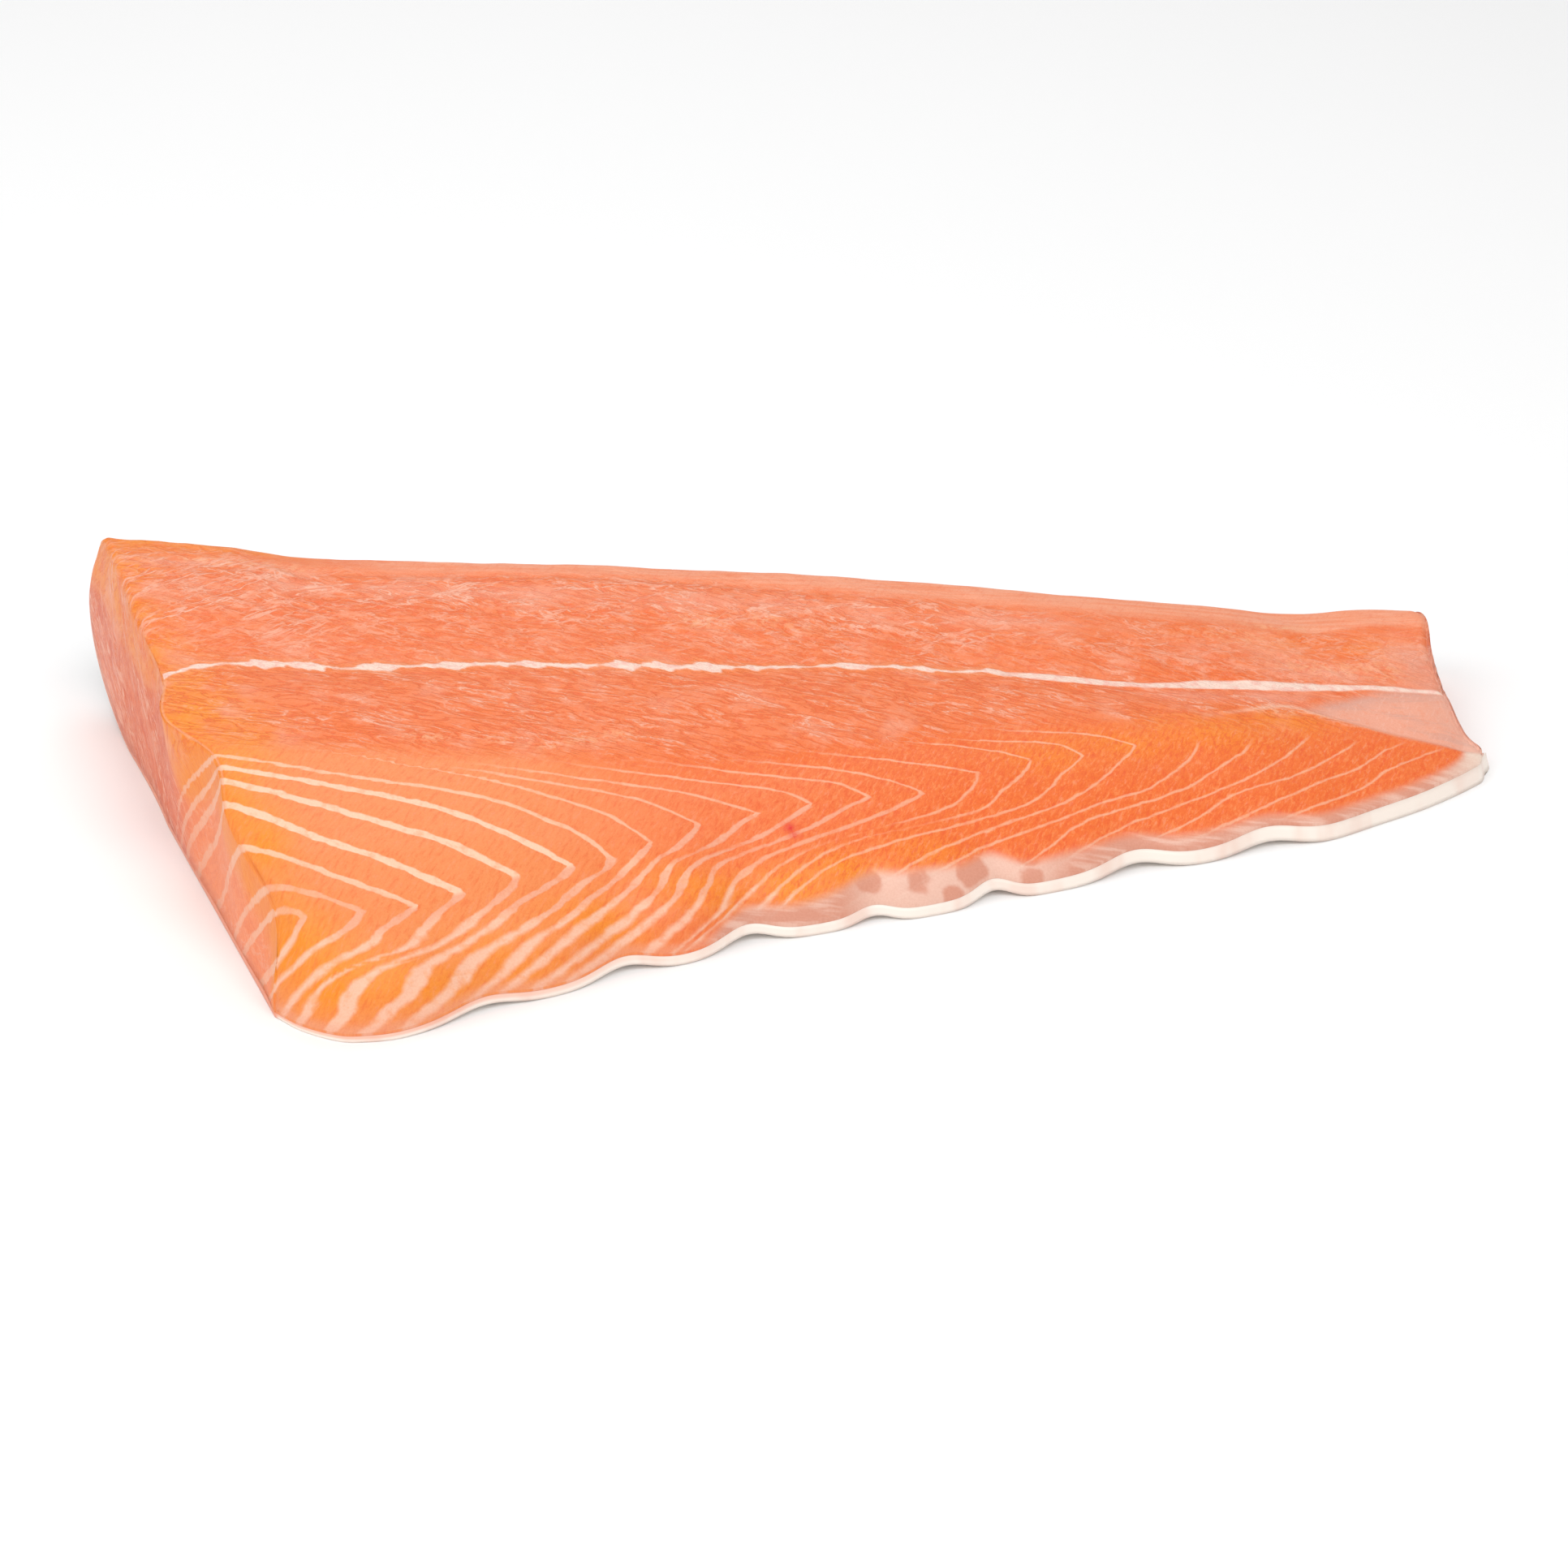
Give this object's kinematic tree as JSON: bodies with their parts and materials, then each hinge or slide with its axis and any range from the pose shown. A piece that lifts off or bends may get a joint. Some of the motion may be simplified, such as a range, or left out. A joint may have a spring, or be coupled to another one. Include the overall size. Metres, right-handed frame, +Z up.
{
  "type": "raw salmon fillet",
  "caption": "Raw salmon fillet, the tail half of one side, lying skin side down, with white chevron lines in orange flesh, a pale seam and a thin pale skin.",
  "frame": {"origin": "middle of the fillet's bounding box, on the plane it lies on", "axes": "+X from the wide cut to the tail, +Y from the belly edge to the back edge, +Z up"},
  "size_m": [0.3032, 0.156, 0.0426],
  "materials": {
    "flesh": "moist raw fish, orange with fine white lines, softly glossy",
    "skin": "moist fish skin, pale at its cut edge and silvery below, satin"
  },
  "bodies": {
    "root": {"flesh": "flesh", "skin": "skin"}
  },
  "joints": []
}
